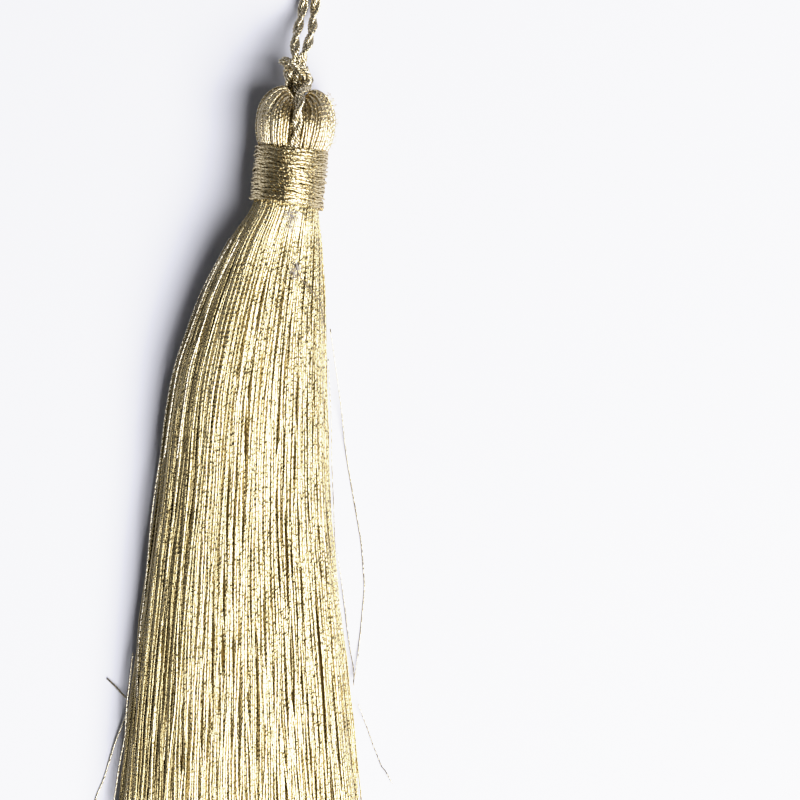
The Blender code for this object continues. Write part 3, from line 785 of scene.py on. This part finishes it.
# %% The head's core
CORE_DEPTH = 0.0006
CORE_POLAR = (0.02, 2.55)
SHADED_GOLD = (0.26, 0.19, 0.08)

core_polar, core_turned = np.meshgrid(np.linspace(*CORE_POLAR, 48), full_turn(120))
core_grid = to_world(head_points(core_polar, core_turned, CORE_DEPTH))
core_mesh = closed_grid("head_core", core_grid.transpose(1, 0, 2))
# the core's dark gold is painted shade under the head's threads
shaded_gold = bundle_gold("shaded gold", SHADED_GOLD)
show(core_mesh, shaded_gold, "pale_gold_thread", "hank")

# %% [markdown]
# ## The neck's binding
# One thread is wound round the neck, turn beside turn, in three passes, each a little further out
# and leaning its own way. It could be a stack of rings, but a real winding climbs, and its slant
# shows. So a pass is a helix whose radius and pitch waver a little, because a hand never lays two
# turns alike.

# %% The binding
BINDING_TOP = -0.0064
BINDING_BOTTOM = -0.0176
WOUND_RADIUS = 0.00021
BINDING_TURNS = 25
STEPS_PER_TURN = 84
BINDING_FLATNESS = 0.75
TILT_CHANGE = 0.11


def wound_thread(rng, radius, waver, tilt):
    """A helix in the head's axes: (r cos a, top - pitch * a / turn, r sin a), with its level and
    radius changed by slow and by quick drift along its angle. tilt is how far its right side drops
    below its left, as a share of the radius. It grows on the way down."""
    angle = np.linspace(0, 2 * math.pi * BINDING_TURNS, BINDING_TURNS * STEPS_PER_TURN)
    fall = angle / angle[-1]
    above = BINDING_TOP - WOUND_RADIUS + (BINDING_BOTTOM - BINDING_TOP + 2 * WOUND_RADIUS) * fall
    above = above + drift(rng, 1, angle, (7.3, 3.1), waver)[0]
    above = above + drift(rng, 1, angle, (1.1, 0.83, 0.57), waver)[0]
    lean = radius * (tilt + TILT_CHANGE * (fall - 0.5))
    above = above - lean * np.cos(angle) * np.sin(math.pi * fall) ** 0.3
    out = radius + drift(rng, 1, angle, (4.3, 1.9), waver * 0.5)[0]
    out = out + drift(rng, 1, angle, (1.1, 0.7, 0.45), waver * 0.4)[0]
    return np.stack([out * np.cos(angle), above, out * np.sin(angle)], axis=-1)[None]


binding_passes = {
    # radius, waver, tilt, tint
    "neck_binding_under": (0.00690, 0.00008, 0.02, 0.2),
    "neck_binding_middle": (0.00706, 0.00019, -0.05, 0.6),
    "neck_binding_over": (0.00722, 0.00022, 0.04, 0.9),
}
for name, (radius, waver, tilt, tint) in binding_passes.items():
    local = wound_thread(rng, radius, waver, tilt)
    outward = to_world(local * (1, 0, 1)) - to_world(np.zeros(3))
    paths = to_world(local)
    paths[..., 2] = np.maximum(paths[..., 2], WOUND_RADIUS)
    mesh = thread_mesh(name, paths, WOUND_RADIUS, unit(outward), 5, [tint], BINDING_FLATNESS)
    show(mesh, binding_thread, "wound_gold_thread", "neck_binding")

# %% [markdown]
# ## Twisted cord
# The cord is two plies twisted together to the right, and each ply is five threads round a sixth,
# twisted the other way so that the cord holds its twist. A round cord with a twisted pattern on it
# would look flat, so the threads are carried one by one: each one's path is the cord's route plus
# a circle for the ply plus a smaller circle for the thread.

# %% Cords
CORD_TWIST_PITCH = 0.0094
PLY_TWIST_PITCH = 0.0036
PLIES = 2
CORD_THREADS = 5
PLY_REACH = 0.00043
PLY_THREAD_REACH = 0.00046
PLY_THREAD_RADIUS = 0.00019
# the first tint, 0, is each ply's middle thread, painted dark as the shade between the others
CORD_TINTS_SHADED_MIDDLE = (0.0, 1.0, 0.35, 0.9, 0.55, 0.75)
CORD_STEP = 0.00036


def carried_frames(route):
    """Two directions square to the route at each point, carried along it without turning: each is
    the last one with its part along the new direction taken out."""
    ahead = unit(np.gradient(route, axis=0))
    side = unit(np.cross(ahead[0], [0.31, 0.17, 0.93]))
    sides = []
    for direction in ahead:
        side = unit(side - direction * np.dot(side, direction))
        sides.append(side)
    first = np.array(sides)
    return first, np.cross(ahead, first)


def cord_paths(route, start):
    """The paths of every thread in a cord along the route, ply by ply, its twist begun at start."""
    first, second = carried_frames(route)
    run = length_along(route)
    paths = []
    for ply in range(PLIES):
        turn = start + 2 * math.pi * run / CORD_TWIST_PITCH + math.pi * ply
        offset = np.cos(turn)[:, None] * first + np.sin(turn)[:, None] * second
        middle = route + PLY_REACH * offset
        paths.append(middle)
        for thread in range(CORD_THREADS):
            spin = -2 * math.pi * (run / PLY_TWIST_PITCH - thread / CORD_THREADS)
            offset = np.cos(spin)[:, None] * first + np.sin(spin)[:, None] * second
            paths.append(middle + PLY_THREAD_REACH * offset)
    return np.stack(paths)


def joined(name, meshes):
    """Several meshes as one, by Blender's own join."""
    if len(meshes) == 1:
        return meshes[0]
    objects = [bpy.data.objects.new(name, mesh) for mesh in meshes]
    for made in objects:
        bpy.context.scene.collection.objects.link(made)
    with bpy.context.temp_override(active_object=objects[0], selected_editable_objects=objects):
        bpy.ops.object.join()
    mesh = objects[0].data
    bpy.data.objects.remove(objects[0])
    return mesh


def cord_mesh(name, routes, rng):
    """The threads of one or more stretches of cord as one mesh."""
    meshes = []
    for route in routes:
        paths = cord_paths(route, rng.uniform(0, 2 * math.pi))
        facing = np.broadcast_to(carried_frames(route)[0], paths.shape)
        tints = np.tile(CORD_TINTS_SHADED_MIDDLE, PLIES)
        meshes.append(thread_mesh(name, paths, PLY_THREAD_RADIUS, facing, 6, tints))
    return joined(name, meshes)


print("threads in the cord:", PLIES * (CORD_THREADS + 1))

# %% [markdown]
# ## The cord's route
# One end of the cord is cut off short at the knot's upper left. From there the cord crosses the
# knot to the right, runs down the head's front and in under the binding, and comes up the back to
# the knot's left side and the loop. The loop's other end goes down into the middle of the knot.
# Three short stretches stand for the knot's strands that lie under others. The points near the
# knot are in the head's axes, so that they lean with the head, and those of the free loop aren't.

# %% The routes
def metres(points):
    """Points that were measured in millimetres, in metres."""
    return np.array(points) / 1000


TIED_ROUTE = [
    # across, above, height in mm
    (-4.2, 11.0, 0.0), (-3.6, 10.8, 0.6), (-2.3, 10.4, 1.4), (-0.7, 9.6, 1.9),
    (0.7, 8.7, 1.8), (1.5, 7.7, 1.4), (1.6, 6.6, 2.0), (1.0, 5.5, 3.8),
    (0.5, 4.6, 5.6), (0.5, 3.4, 7.1), (0.5, 1.8, 7.9), (0.5, 0.0, 8.1),
    (0.6, -1.8, 7.9), (0.6, -3.6, 7.4), (0.6, -5.2, 6.5), (0.4, -6.8, 5.0),
    (0.2, -7.6, 3.0), (0.0, -7.8, 0.0), (0.0, -7.6, -3.0), (0.0, -6.6, -4.8),
    (0.0, -4.8, -6.0), (0.0, -2.8, -6.3), (0.0, -0.8, -6.3), (-0.2, 1.5, -6.3),
    (-0.7, 3.2, -5.6), (-1.2, 4.4, -4.0), (-1.7, 5.2, -2.0), (-2.1, 6.2, -0.2),
    (-2.5, 7.4, 0.8), (-2.7, 8.6, 0.9), (-2.6, 9.6, 0.3), (-2.1, 10.6, -0.8),
    (-1.7, 11.6, -1.1),
]
KNOT_BACK = [
    (1.2, 7.0, -0.4), (1.5, 8.0, -1.4), (0.6, 9.0, -2.4), (-1.0, 9.6, -2.6),
    (-2.4, 10.2, -2.0), (-2.8, 10.8, -0.8),
]
KNOT_MIDDLE = [
    (-0.3, 10.6, -0.6), (-1.0, 9.6, -0.2), (-1.2, 8.7, 0.2), (-0.8, 7.4, 0.4),
    (-0.5, 6.2, 0.6), (-0.3, 5.0, 1.0),
]
KNOT_SIDE = [
    (0.3, 10.4, -0.8), (0.5, 9.4, -0.6), (0.6, 8.4, -0.4), (0.6, 7.2, -0.3),
    (0.4, 6.0, 0.0), (0.2, 5.0, 0.4),
]
LOOP_START = [(-2.1, 10.6, -0.8), (-1.7, 11.6, -1.1)]
LOOP_END = [(-0.2, 11.6, -0.6), (-0.4, 10.6, -0.8)]
LOOP_ROUTE = [
    # x, y, z in mm
    (11.0, 85.3, 7.1), (11.0, 86.8, 6.6), (11.2, 88.3, 5.6), (11.5, 90.1, 4.3),
    (12.0, 91.9, 3.1), (12.7, 95.7, 1.5), (13.6, 100.5, 1.2), (14.2, 106.0, 1.2),
    (14.4, 112.0, 1.2), (14.3, 118.0, 1.2), (14.4, 124.0, 1.2), (15.5, 129.5, 1.2),
    (19.0, 133.5, 1.2), (23.3, 132.1, 1.2), (24.7, 127.2, 1.2), (23.7, 121.0, 1.2),
    (22.0, 115.0, 1.2), (19.8, 109.0, 1.2), (17.5, 103.0, 1.2), (15.8, 98.2, 1.2),
    (15.0, 94.9, 1.6), (14.6, 92.3, 2.8), (14.4, 89.9, 4.4), (13.9, 87.9, 5.8),
    (13.4, 86.2, 6.8), (12.8, 84.8, 7.5),
]

loop_ends = [to_world(metres(points)) for points in (LOOP_START, LOOP_END)]
loop_line = smooth_through([*loop_ends[0], *metres(LOOP_ROUTE), *loop_ends[1]], CORD_STEP)
tied_routes = (TIED_ROUTE, KNOT_BACK, KNOT_MIDDLE, KNOT_SIDE)
tied_lines = [smooth_through(to_world(metres(route)), CORD_STEP) for route in tied_routes]
print("points on the loop and the tied stretches:", len(loop_line), [len(t) for t in tied_lines])

# %% The loop
loop_mesh = cord_mesh("hanging_loop_cord", [loop_line], rng)
loop = show(loop_mesh, cord_thread, "cord_gold_thread", "hanging_loop")

# %% The tied cord
tied_mesh = cord_mesh("tied_cord_threads", tied_lines, rng)
show(tied_mesh, cord_thread, "cord_gold_thread", "saddle_cord", "knot")

# %% [markdown]
# Light would show through the knot between its strands, where the real one is packed tight. A
# small dark ellipsoid in its middle, (sin p cos t, cos p, sin p sin t) stretched to size, stops it.
# Its dark gold is painted shade, for the shadowed inside of the knot.

# %% The knot's filler
FILLER_PLACE = np.array([-0.0006, 0.0072, -0.0010])
FILLER_SIZE = np.array([0.0017, 0.0036, 0.0012])
FILLER_POLAR = (0.05, 3.09)

filler_polar, filler_turned = np.meshgrid(np.linspace(*FILLER_POLAR, 24), full_turn(36))
filler = np.stack([
    np.sin(filler_polar) * np.cos(filler_turned), np.cos(filler_polar),
    np.sin(filler_polar) * np.sin(filler_turned),
], axis=-1)
filler_grid = to_world(FILLER_PLACE + FILLER_SIZE * filler)
filler_mesh = closed_grid("knot_filler", filler_grid.transpose(1, 0, 2))
# the filler's dark gold is painted shade inside the knot
show(filler_mesh, deep_gold_painted_shade, "cord_gold_thread", "knot")

# %% [markdown]
# ## Loose threads
# Some threads have left the skirt's order. A few lie on the table beside it, others run along its
# sides, and three bright ones stand off its dark upper left. They could be strewn at random, but
# each follows its own few points, so that it lies where the real one does. Its line is kept high
# enough for the thread to clear the table.

# %% Loose threads
LOOSE_RADIUS = 0.00017
LOOSE_STEP = 0.0010
TABLE_CLEARANCE = 0.00002
LOOSE_THREADS = [
    # thickness, then x, y, z in mm
    (1.20, [(-21.6, -45.0, 2.0), (-23.2, -44.1, 1.2), (-25.0, -42.2, 0.6), (-26.9, -40.4, 0.3)]),
    (1.00, [(-22.4, -46.4, 2.2), (-23.6, -49.0, 1.3), (-25.4, -53.6, 0.6), (-26.6, -57.4, 0.3),
            (-27.6, -60.6, 0.2), (-29.0, -63.9, 0.2), (-29.7, -66.6, 0.2)]),
    (0.80, [(18.0, 30.0, 4.0), (20.0, 15.7, 1.4), (20.8, 8.5, 0.6), (21.7, 1.7, 0.2),
            (22.9, -5.3, 0.2), (24.2, -12.9, 0.2), (24.8, -20.3, 0.2), (24.9, -22.3, 0.2),
            (24.5, -26.9, 0.2), (24.0, -32.3, 0.3), (23.2, -38.3, 0.7), (22.6, -41.0, 1.2)]),
    (0.70, [(19.4, -15.0, 2.2), (20.2, -20.3, 0.8), (20.8, -24.9, 0.3), (21.4, -29.9, 0.3),
            (22.1, -35.3, 0.6), (22.7, -38.7, 1.0), (22.7, -42.0, 1.6)]),
    (0.70, [(17.6, 24.0, 4.5), (18.2, 11.7, 3.0), (18.3, 3.7, 2.4), (18.6, -4.0, 2.4),
            (18.9, -12.0, 2.6), (19.2, -18.0, 3.0)]),
    (0.60, [(23.6, -45.4, 1.4), (24.4, -47.5, 0.6), (25.2, -49.7, 0.2), (25.9, -51.7, 0.2),
            (26.6, -53.7, 0.2), (27.4, -55.7, 0.2), (28.4, -58.2, 0.3), (29.2, -59.1, 0.5),
            (29.7, -60.1, 0.5), (30.2, -60.9, 0.3), (30.5, -61.5, 0.2)]),
    (0.90, [(-15.9, 4.7, 5.2), (-17.0, -2.3, 5.2),
            (-17.8, -8.3, 5.1), (-18.5, -16.3, 5.0), (-19.3, -24.3, 4.9), (-19.9, -29.0, 5.0),
            (-20.3, -33.5, 5.4), (-20.5, -40.0, 6.0), (-20.6, -47.0, 6.4), (-20.9, -55.0, 6.8)]),
    (0.85, [(-21.6, -35.0, 3.4), (-22.2, -40.5, 3.6), (-22.8, -45.5, 3.4), (-23.1, -51.0, 3.2),
            (-23.4, -53.0, 3.2), (-23.8, -54.8, 3.1), (-24.3, -57.5, 3.0), (-25.0, -62.0, 2.8),
            (-25.6, -66.0, 2.6)]),
    (0.90, [(-1.3, 48.0, 9.3), (-4.2, 43.0, 8.9), (-6.6, 38.0, 8.6), (-9.6, 30.0, 8.4),
            (-12.3, 22.0, 8.2), (-13.8, 13.0, 7.9), (-15.1, 4.0, 7.6)]),
    (0.90, [(-2.0, 48.0, 7.3), (-7.4, 38.0, 6.3), (-10.5, 30.0, 6.0), (-13.2, 22.0, 5.6),
            (-14.9, 13.0, 5.4), (-15.9, 5.0, 5.0)]),
    (0.80, [(0.2, 48.0, 11.7), (-4.6, 38.0, 11.5), (-7.3, 30.0, 11.4), (-9.8, 22.0, 11.2),
            (-11.2, 13.0, 10.9), (-12.4, 4.0, 10.4)]),
]
loose_lines, loose_radii = [], []
for thickness, points in LOOSE_THREADS:
    line = smooth_through(metres(points), LOOSE_STEP)
    line[:, 2] = np.maximum(line[:, 2], LOOSE_RADIUS * thickness + TABLE_CLEARANCE)
    loose_lines.append(line)
    loose_radii.append(LOOSE_RADIUS * thickness)
longest = max(len(line) for line in loose_lines)
even = np.linspace(0, 1, longest)
loose_paths = np.stack([read_off(even, np.linspace(0, 1, len(line)), line) for line in loose_lines])
loose_tints = rng.uniform(*PLAIN_TINTS, len(loose_lines))
loose_radii = np.array(loose_radii)[:, None]
loose_mesh = thread_mesh("loose_threads", loose_paths, loose_radii, UPWARD, 8, loose_tints)
show(loose_mesh, loose_thread, "pale_gold_thread")

# %% [markdown]
# ## Hairs, lint and a dark fibre
# Fine hairs stand off the head's right side, and specks of grey lint and one dark fibre have
# settled below the binding. A hair system could grow them too. Here each hair is a thin thread
# with few sides, bent into an arc at random, because threads already have their own function.

# %% Hairs
HAIR_FACING = np.array([0.3, 0.2, 0.9])
HAIR_STEPS = 9


def hairs(rng, roots, outward, length, curl):
    """Short curling hairs: from each root outwards for about length, bent into an arc by a sine
    and a cosine of the way along, turned round the outward direction at random."""
    way = np.linspace(0, 1, HAIR_STEPS)[None, :, None]
    reach = length * rng.uniform(0.4, 1.0, (len(roots), 1, 1))
    side = unit(np.cross(outward, rng.normal(0, 1, (len(roots), 3))))[:, None]
    bend = curl * rng.uniform(-1, 1, (len(roots), 1, 1))
    rise = outward[:, None] * np.sin(2.4 * way) + side * bend * (1 - np.cos(3.0 * way))
    return roots[:, None] + reach * rise


def soft_hair(name, colour):
    """Matt fibre, a little lighter where a noise is high."""
    material, tree, shader = new_material(name)
    shade = remap(tree, noise(tree, 900.0), 0.3, 0.7, 0.7, 1.0)
    feed(tree, shader.inputs["Base Color"], scaled(tree, colour, shade))
    shader.inputs["Roughness"].default_value = 0.6
    return material


HEAD_HAIRS = 46
HEAD_HAIR_LENGTH = 0.0009
HEAD_HAIR_RADIUS = 0.00006
ROOT_DEPTH = 0.0002
polar = rng.uniform(0.75, 2.2, HEAD_HAIRS)
azimuth = rng.normal(0.25, 0.35, HEAD_HAIRS)
roots = to_world(head_points(polar, azimuth, np.full(HEAD_HAIRS, ROOT_DEPTH)))
hair_paths = hairs(rng, roots, unit(roots - HEAD_CENTRE), HEAD_HAIR_LENGTH, 0.9)
hair_tints = rng.uniform(0, 1, HEAD_HAIRS)
hair_mesh = thread_mesh("head_hairs", hair_paths, HEAD_HAIR_RADIUS, HAIR_FACING, 4, hair_tints)
show(hair_mesh, soft_hair("fine fibre", (0.62, 0.53, 0.36)), "pale_gold_thread")

# %% Lint
LINT_LENGTH = 0.0010
LINT_RADIUS = 0.000045
LINT_DEPTH = 0.0001
LINT_LIE = (1, 1, 0.25)
LINT_SPOTS = [
    # x, y, z, spread across, spread along, hairs
    (0.0104, 0.0517, 0.0143, 0.0013, 0.0028, 90),
    (0.0113, 0.0415, 0.0138, 0.0008, 0.0014, 40),
]
lint = []
for x, y, z, across, along, count in LINT_SPOTS:
    spread = ((x, across / 2), (y, along / 2), (z, LINT_DEPTH))
    roots = np.column_stack([rng.normal(middle, size, count) for middle, size in spread])
    ways = unit(rng.normal(0, 1, (count, 3)) * LINT_LIE)
    lint.append(hairs(rng, roots, ways, LINT_LENGTH, 0.8))
lint_paths = np.concatenate(lint)
lint_tints = rng.uniform(0, 1, len(lint_paths))
lint_mesh = thread_mesh("lint_specks", lint_paths, LINT_RADIUS, HAIR_FACING, 3, lint_tints)
show(lint_mesh, soft_hair("lint", (0.44, 0.41, 0.40)), "pale_gold_thread")

# %% The dark fibre
FIBRE_RADIUS = 0.00012
DARK_FIBRE = [
    # x, y, z in mm
    (11.2, 42.6, 14.1), (12.0, 40.5, 13.8), (13.6, 38.3, 12.9), (15.4, 36.4, 11.3),
    (16.2, 34.6, 10.3), (16.6, 32.6, 9.6), (16.9, 30.6, 8.9),
]
fibre_path = smooth_through(metres(DARK_FIBRE), LOOSE_STEP)[None]
fibre_mesh = thread_mesh("dark_fibre", fibre_path, FIBRE_RADIUS, HAIR_FACING, 6, [1.0])
show(fibre_mesh, soft_hair("dark fibre", (0.10, 0.075, 0.045)), "pale_gold_thread")

# %% [markdown]
# ## Table and light
# The table is plain and nearly white. The light is one large soft source high on the right and a
# little towards the skirt's end, so the shadow falls softly to the left, and threads that lean
# away from it mirror the dim room and go olive.

# %% Table
def pale_table():
    """A matt, very slightly cool white, with faint slow unevenness."""
    material, tree, shader = new_material("pale table")
    white = mixed(tree, noise(tree, 9.0), (0.545, 0.555, 0.63, 1.0), (0.575, 0.585, 0.66, 1.0))
    feed(tree, shader.inputs["Base Color"], white)
    shader.inputs["Roughness"].default_value = 0.7
    return material


TABLE_HALF = 1.5
corner_signs = ((-1, -1), (1, -1), (1, 1), (-1, 1))
table_corners = [(x * TABLE_HALF, y * TABLE_HALF, 0) for x, y in corner_signs]
table_mesh = bpy.data.meshes.new("table")
table_mesh.from_pydata(table_corners, [], [(0, 1, 2, 3)])
table_mesh.materials.append(pale_table())
table = bpy.data.objects.new("table", table_mesh)
bpy.context.scene.collection.objects.link(table)
print("table, m:", 2 * TABLE_HALF, "square")


# %% Light
def soft_light(name, place, width, depth, watts, colour):
    """A soft light that faces the tassel, width across the picture and depth along it."""
    data = bpy.data.lights.new(name, "AREA")
    data.shape = "RECTANGLE"
    data.size, data.size_y = width, depth
    data.energy = watts
    data.color = colour
    light = bpy.data.objects.new(name, data)
    away = Vector(place).normalized()
    along = (Vector((0, 1, 0)) - away * away.y).normalized()
    turn = Matrix((along.cross(away), along, away)).transposed()
    light.matrix_world = Matrix.Translation(place) @ turn.to_4x4()
    bpy.context.scene.collection.objects.link(light)
    return light


KEY_PLACE = (0.646, -0.599, 0.958)
KEY_WIDTH, KEY_DEPTH = 1.0, 1.4
KEY_WATTS = 63.0
ROOM_COLOUR = (0.92, 0.95, 1.0, 1.0)
ROOM_STRENGTH = 0.11

soft_light("key light", KEY_PLACE, KEY_WIDTH, KEY_DEPTH, KEY_WATTS, (1.0, 0.99, 0.985))
world = bpy.data.worlds.new("room")
world.use_nodes = True
room = world.node_tree.nodes["Background"]
room.inputs["Color"].default_value = ROOM_COLOUR
room.inputs["Strength"].default_value = ROOM_STRENGTH
bpy.context.scene.world = world

# %% [markdown]
# The picture is bright, and its whites are held back softly instead of being cut off. A curve does
# the same here: it leaves dark and middle tones alone and bends the brightest ones over to white.

# %% Tones
BRIGHTEST = 4.0
# scene brightness, shown brightness
TONE_POINTS = [(0.60, 0.60), (0.80, 0.76), (1.00, 0.875), (1.25, 0.93), (1.8, 0.97)]
view = bpy.context.scene.view_settings
view.view_transform = "Standard"
view.use_curve_mapping = True
view.curve_mapping.white_level = (BRIGHTEST, BRIGHTEST, BRIGHTEST)
tone = view.curve_mapping.curves[3]
tone.points[1].location = (1.0, 1.0)
for bright, shown in TONE_POINTS:
    tone.points.new(bright / BRIGHTEST, shown)
view.curve_mapping.update()
print("tone curve points:", len(tone.points))
